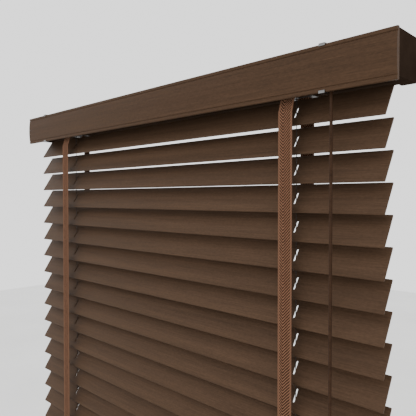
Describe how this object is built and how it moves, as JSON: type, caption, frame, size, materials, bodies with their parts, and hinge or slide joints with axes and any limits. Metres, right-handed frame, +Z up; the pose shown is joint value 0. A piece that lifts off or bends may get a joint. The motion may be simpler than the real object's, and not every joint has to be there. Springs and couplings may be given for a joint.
{
  "type": "venetian blind",
  "caption": "Wooden venetian blind with woven ladder tapes, wooden valance, steel headrail and tilt wand; slats tilt together and the stack lifts.",
  "frame": {"origin": "middle of the mounting plane on top of the two end brackets, on the slats' centre plane", "axes": "+X along the slats to the right as seen from the room, -Y towards the room, +Z up"},
  "size_m": [0.976, 0.0732, 0.8801],
  "materials": {
    "slat_wood": "satin stained wood, fine straight grain along the slat",
    "rail_wood": "satin stained wood",
    "valance_wood": "satin stained wood",
    "wand_wood": "satin stained wood",
    "woven_tape": "herringbone woven cotton",
    "lift_cord": "braided cord",
    "painted_steel": "satin brown enamel",
    "clip_steel": "satin spring steel",
    "rod_steel": "zinc plated",
    "dark_plastic": "moulded"
  },
  "bodies": {
    "headrail_unit": {"headrail": "painted_steel", "end_bracket_left": "painted_steel", "end_bracket_right": "painted_steel", "valance": "valance_wood", "valance_clip_left": "clip_steel", "valance_clip_right": "clip_steel", "tilter_housing": "dark_plastic", "ladder_cradle_left": "dark_plastic", "ladder_cradle_right": "dark_plastic", "lift_cord_left": "lift_cord", "lift_cord_right": "lift_cord", "tape_front_left_01": "woven_tape", "tape_front_right": "woven_tape", "tape_rear_left": "woven_tape", "tape_rear_right": "woven_tape"},
    "tilt_rod": {"tilt_rod": "rod_steel", "ladder_drum_left": "dark_plastic", "ladder_drum_right": "dark_plastic"},
    "tilter_worm": {"tilter_worm": "rod_steel"},
    "wand_cap": {"wand_cap": "dark_plastic"},
    "tilt_wand": {"tilt_wand": "wand_wood"},
    "tape_length_19": {"tape_front_left_19": "woven_tape"},
    "bottom_rail": {"bottom_rail": "rail_wood", "rail_plug_left": "dark_plastic", "rail_plug_right": "dark_plastic"},
    "tape_length_18": {"tape_front_left_18": "woven_tape"},
    "slat_18": {"slat_18": "slat_wood"},
    "tape_length_17": {"tape_front_left_17": "woven_tape"},
    "slat_17": {"slat_17": "slat_wood"},
    "tape_length_16": {"tape_front_left_16": "woven_tape"},
    "slat_16": {"slat_16": "slat_wood"},
    "tape_length_15": {"tape_front_left_15": "woven_tape"},
    "slat_15": {"slat_15": "slat_wood"},
    "tape_length_14": {"tape_front_left_14": "woven_tape"},
    "slat_14": {"slat_14": "slat_wood"},
    "tape_length_13": {"tape_front_left_13": "woven_tape"},
    "slat_13": {"slat_13": "slat_wood"},
    "tape_length_12": {"tape_front_left_12": "woven_tape"},
    "slat_12": {"slat_12": "slat_wood"},
    "tape_length_11": {"tape_front_left_11": "woven_tape"},
    "slat_11": {"slat_11": "slat_wood"},
    "tape_length_10": {"tape_front_left_10": "woven_tape"},
    "slat_10": {"slat_10": "slat_wood"},
    "tape_length_09": {"tape_front_left_09": "woven_tape"},
    "slat_09": {"slat_09": "slat_wood"},
    "tape_length_08": {"tape_front_left_08": "woven_tape"},
    "slat_08": {"slat_08": "slat_wood"},
    "tape_length_07": {"tape_front_left_07": "woven_tape"},
    "slat_07": {"slat_07": "slat_wood"},
    "tape_length_06": {"tape_front_left_06": "woven_tape"},
    "slat_06": {"slat_06": "slat_wood"},
    "tape_length_05": {"tape_front_left_05": "woven_tape"},
    "slat_05": {"slat_05": "slat_wood"},
    "tape_length_04": {"tape_front_left_04": "woven_tape"},
    "slat_04": {"slat_04": "slat_wood"},
    "tape_length_03": {"tape_front_left_03": "woven_tape"},
    "slat_03": {"slat_03": "slat_wood"},
    "tape_length_02": {"tape_front_left_02": "woven_tape"},
    "slat_02": {"slat_02": "slat_wood"},
    "slat_01": {"slat_01": "slat_wood"}
  },
  "joints": [
    {"name": "blind_lift", "type": "slide", "parent": "headrail_unit", "child": "tape_length_19", "axis": [0, 0, 1], "range_m": [0, 0.6093], "deforming": ["lift_cord_left", "lift_cord_right", "tape_front_right", "tape_rear_left", "tape_rear_right", "tape_front_left_01", "tape_front_left_02", "tape_front_left_03", "tape_front_left_04", "tape_front_left_05", "tape_front_left_06", "tape_front_left_07", "tape_front_left_08", "tape_front_left_09", "tape_front_left_10", "tape_front_left_11", "tape_front_left_12", "tape_front_left_13", "tape_front_left_14", "tape_front_left_15", "tape_front_left_16", "tape_front_left_17", "tape_front_left_18", "tape_front_left_19"]},
    {"name": "slat_tilt", "type": "hinge", "parent": "tape_length_19", "child": "bottom_rail", "pos_m": [0, 0, -0.8558], "axis": [1, 0, 0], "range_deg": [-124, 8]},
    {"name": "slat_18_lift", "type": "slide", "parent": "headrail_unit", "child": "tape_length_18", "axis": [0, 0, 1], "range_m": [0, 0.59099]},
    {"name": "slat_18_tilt", "type": "hinge", "parent": "tape_length_18", "child": "slat_18", "pos_m": [0, 0, -0.8128], "axis": [1, 0, 0], "range_deg": [-124, 8]},
    {"name": "slat_17_lift", "type": "slide", "parent": "headrail_unit", "child": "tape_length_17", "axis": [0, 0, 1], "range_m": [0, 0.55623]},
    {"name": "slat_17_tilt", "type": "hinge", "parent": "tape_length_17", "child": "slat_17", "pos_m": [0, 0, -0.7698], "axis": [1, 0, 0], "range_deg": [-124, 8]},
    {"name": "slat_16_lift", "type": "slide", "parent": "headrail_unit", "child": "tape_length_16", "axis": [0, 0, 1], "range_m": [0, 0.52146]},
    {"name": "slat_16_tilt", "type": "hinge", "parent": "tape_length_16", "child": "slat_16", "pos_m": [0, 0, -0.7268], "axis": [1, 0, 0], "range_deg": [-124, 8]},
    {"name": "slat_15_lift", "type": "slide", "parent": "headrail_unit", "child": "tape_length_15", "axis": [0, 0, 1], "range_m": [0, 0.4867]},
    {"name": "slat_15_tilt", "type": "hinge", "parent": "tape_length_15", "child": "slat_15", "pos_m": [0, 0, -0.6838], "axis": [1, 0, 0], "range_deg": [-124, 8]},
    {"name": "slat_14_lift", "type": "slide", "parent": "headrail_unit", "child": "tape_length_14", "axis": [0, 0, 1], "range_m": [0, 0.45194]},
    {"name": "slat_14_tilt", "type": "hinge", "parent": "tape_length_14", "child": "slat_14", "pos_m": [0, 0, -0.6408], "axis": [1, 0, 0], "range_deg": [-124, 8]},
    {"name": "slat_13_lift", "type": "slide", "parent": "headrail_unit", "child": "tape_length_13", "axis": [0, 0, 1], "range_m": [0, 0.41718]},
    {"name": "slat_13_tilt", "type": "hinge", "parent": "tape_length_13", "child": "slat_13", "pos_m": [0, 0, -0.5978], "axis": [1, 0, 0], "range_deg": [-124, 8]},
    {"name": "slat_12_lift", "type": "slide", "parent": "headrail_unit", "child": "tape_length_12", "axis": [0, 0, 1], "range_m": [0, 0.38241]},
    {"name": "slat_12_tilt", "type": "hinge", "parent": "tape_length_12", "child": "slat_12", "pos_m": [0, 0, -0.5548], "axis": [1, 0, 0], "range_deg": [-124, 8]},
    {"name": "slat_11_lift", "type": "slide", "parent": "headrail_unit", "child": "tape_length_11", "axis": [0, 0, 1], "range_m": [0, 0.34765]},
    {"name": "slat_11_tilt", "type": "hinge", "parent": "tape_length_11", "child": "slat_11", "pos_m": [0, 0, -0.5118], "axis": [1, 0, 0], "range_deg": [-124, 8]},
    {"name": "slat_10_lift", "type": "slide", "parent": "headrail_unit", "child": "tape_length_10", "axis": [0, 0, 1], "range_m": [0, 0.31288]},
    {"name": "slat_10_tilt", "type": "hinge", "parent": "tape_length_10", "child": "slat_10", "pos_m": [0, 0, -0.4688], "axis": [1, 0, 0], "range_deg": [-124, 8]},
    {"name": "slat_09_lift", "type": "slide", "parent": "headrail_unit", "child": "tape_length_09", "axis": [0, 0, 1], "range_m": [0, 0.27812]},
    {"name": "slat_09_tilt", "type": "hinge", "parent": "tape_length_09", "child": "slat_09", "pos_m": [0, 0, -0.4258], "axis": [1, 0, 0], "range_deg": [-124, 8]},
    {"name": "slat_08_lift", "type": "slide", "parent": "headrail_unit", "child": "tape_length_08", "axis": [0, 0, 1], "range_m": [0, 0.24336]},
    {"name": "slat_08_tilt", "type": "hinge", "parent": "tape_length_08", "child": "slat_08", "pos_m": [0, 0, -0.3828], "axis": [1, 0, 0], "range_deg": [-124, 8]},
    {"name": "slat_07_lift", "type": "slide", "parent": "headrail_unit", "child": "tape_length_07", "axis": [0, 0, 1], "range_m": [0, 0.20859]},
    {"name": "slat_07_tilt", "type": "hinge", "parent": "tape_length_07", "child": "slat_07", "pos_m": [0, 0, -0.3398], "axis": [1, 0, 0], "range_deg": [-124, 8]},
    {"name": "slat_06_lift", "type": "slide", "parent": "headrail_unit", "child": "tape_length_06", "axis": [0, 0, 1], "range_m": [0, 0.17383]},
    {"name": "slat_06_tilt", "type": "hinge", "parent": "tape_length_06", "child": "slat_06", "pos_m": [0, 0, -0.2968], "axis": [1, 0, 0], "range_deg": [-124, 8]},
    {"name": "slat_05_lift", "type": "slide", "parent": "headrail_unit", "child": "tape_length_05", "axis": [0, 0, 1], "range_m": [0, 0.13906]},
    {"name": "slat_05_tilt", "type": "hinge", "parent": "tape_length_05", "child": "slat_05", "pos_m": [0, 0, -0.2538], "axis": [1, 0, 0], "range_deg": [-124, 8]},
    {"name": "slat_04_lift", "type": "slide", "parent": "headrail_unit", "child": "tape_length_04", "axis": [0, 0, 1], "range_m": [0, 0.1043]},
    {"name": "slat_04_tilt", "type": "hinge", "parent": "tape_length_04", "child": "slat_04", "pos_m": [0, 0, -0.2108], "axis": [1, 0, 0], "range_deg": [-124, 8]},
    {"name": "slat_03_lift", "type": "slide", "parent": "headrail_unit", "child": "tape_length_03", "axis": [0, 0, 1], "range_m": [0, 0.06954]},
    {"name": "slat_03_tilt", "type": "hinge", "parent": "tape_length_03", "child": "slat_03", "pos_m": [0, 0, -0.1678], "axis": [1, 0, 0], "range_deg": [-124, 8]},
    {"name": "slat_02_lift", "type": "slide", "parent": "headrail_unit", "child": "tape_length_02", "axis": [0, 0, 1], "range_m": [0, 0.03477]},
    {"name": "slat_02_tilt", "type": "hinge", "parent": "tape_length_02", "child": "slat_02", "pos_m": [0, 0, -0.1248], "axis": [1, 0, 0], "range_deg": [-124, 8]},
    {"name": "slat_01_tilt", "type": "hinge", "parent": "headrail_unit", "child": "slat_01", "pos_m": [0, 0, -0.0818], "axis": [1, 0, 0], "range_deg": [-124, 8]},
    {"name": "rod_turn", "type": "hinge", "parent": "headrail_unit", "child": "tilt_rod", "pos_m": [0, 0, -0.027], "axis": [1, 0, 0], "range_deg": [-124, 8]},
    {"name": "worm_turn", "type": "hinge", "parent": "headrail_unit", "child": "tilter_worm", "pos_m": [0.394, -0.029, -0.0605], "axis": [0, 0.4478, 0.8942], "range_deg": [-1240, 80]},
    {"name": "wand_swing", "type": "hinge", "parent": "headrail_unit", "child": "wand_cap", "pos_m": [0.394, -0.029, -0.0605], "axis": [0, 1, 0], "range_deg": [-25, 4]},
    {"name": "wand_turn", "type": "hinge", "parent": "wand_cap", "child": "tilt_wand", "pos_m": [0.394, -0.029, -0.0605], "axis": [0, 0, 1], "range_deg": [-1240, 80]}
  ],
  "couplings": [
    {"joint": "slat_18_lift", "follows": "blind_lift", "ratio": 0.96994},
    {"joint": "slat_18_tilt", "follows": "slat_tilt", "ratio": 1},
    {"joint": "slat_17_lift", "follows": "blind_lift", "ratio": 0.91288},
    {"joint": "slat_17_tilt", "follows": "slat_tilt", "ratio": 1},
    {"joint": "slat_16_lift", "follows": "blind_lift", "ratio": 0.85583},
    {"joint": "slat_16_tilt", "follows": "slat_tilt", "ratio": 1},
    {"joint": "slat_15_lift", "follows": "blind_lift", "ratio": 0.79877},
    {"joint": "slat_15_tilt", "follows": "slat_tilt", "ratio": 1},
    {"joint": "slat_14_lift", "follows": "blind_lift", "ratio": 0.74172},
    {"joint": "slat_14_tilt", "follows": "slat_tilt", "ratio": 1},
    {"joint": "slat_13_lift", "follows": "blind_lift", "ratio": 0.68466},
    {"joint": "slat_13_tilt", "follows": "slat_tilt", "ratio": 1},
    {"joint": "slat_12_lift", "follows": "blind_lift", "ratio": 0.62761},
    {"joint": "slat_12_tilt", "follows": "slat_tilt", "ratio": 1},
    {"joint": "slat_11_lift", "follows": "blind_lift", "ratio": 0.57055},
    {"joint": "slat_11_tilt", "follows": "slat_tilt", "ratio": 1},
    {"joint": "slat_10_lift", "follows": "blind_lift", "ratio": 0.5135},
    {"joint": "slat_10_tilt", "follows": "slat_tilt", "ratio": 1},
    {"joint": "slat_09_lift", "follows": "blind_lift", "ratio": 0.45644},
    {"joint": "slat_09_tilt", "follows": "slat_tilt", "ratio": 1},
    {"joint": "slat_08_lift", "follows": "blind_lift", "ratio": 0.39939},
    {"joint": "slat_08_tilt", "follows": "slat_tilt", "ratio": 1},
    {"joint": "slat_07_lift", "follows": "blind_lift", "ratio": 0.34233},
    {"joint": "slat_07_tilt", "follows": "slat_tilt", "ratio": 1},
    {"joint": "slat_06_lift", "follows": "blind_lift", "ratio": 0.28528},
    {"joint": "slat_06_tilt", "follows": "slat_tilt", "ratio": 1},
    {"joint": "slat_05_lift", "follows": "blind_lift", "ratio": 0.22822},
    {"joint": "slat_05_tilt", "follows": "slat_tilt", "ratio": 1},
    {"joint": "slat_04_lift", "follows": "blind_lift", "ratio": 0.17117},
    {"joint": "slat_04_tilt", "follows": "slat_tilt", "ratio": 1},
    {"joint": "slat_03_lift", "follows": "blind_lift", "ratio": 0.11411},
    {"joint": "slat_03_tilt", "follows": "slat_tilt", "ratio": 1},
    {"joint": "slat_02_lift", "follows": "blind_lift", "ratio": 0.057055},
    {"joint": "slat_02_tilt", "follows": "slat_tilt", "ratio": 1},
    {"joint": "slat_01_tilt", "follows": "slat_tilt", "ratio": 1},
    {"joint": "rod_turn", "follows": "slat_tilt", "ratio": 1},
    {"joint": "worm_turn", "follows": "slat_tilt", "ratio": 10},
    {"joint": "wand_turn", "follows": "slat_tilt", "ratio": 10}
  ]
}
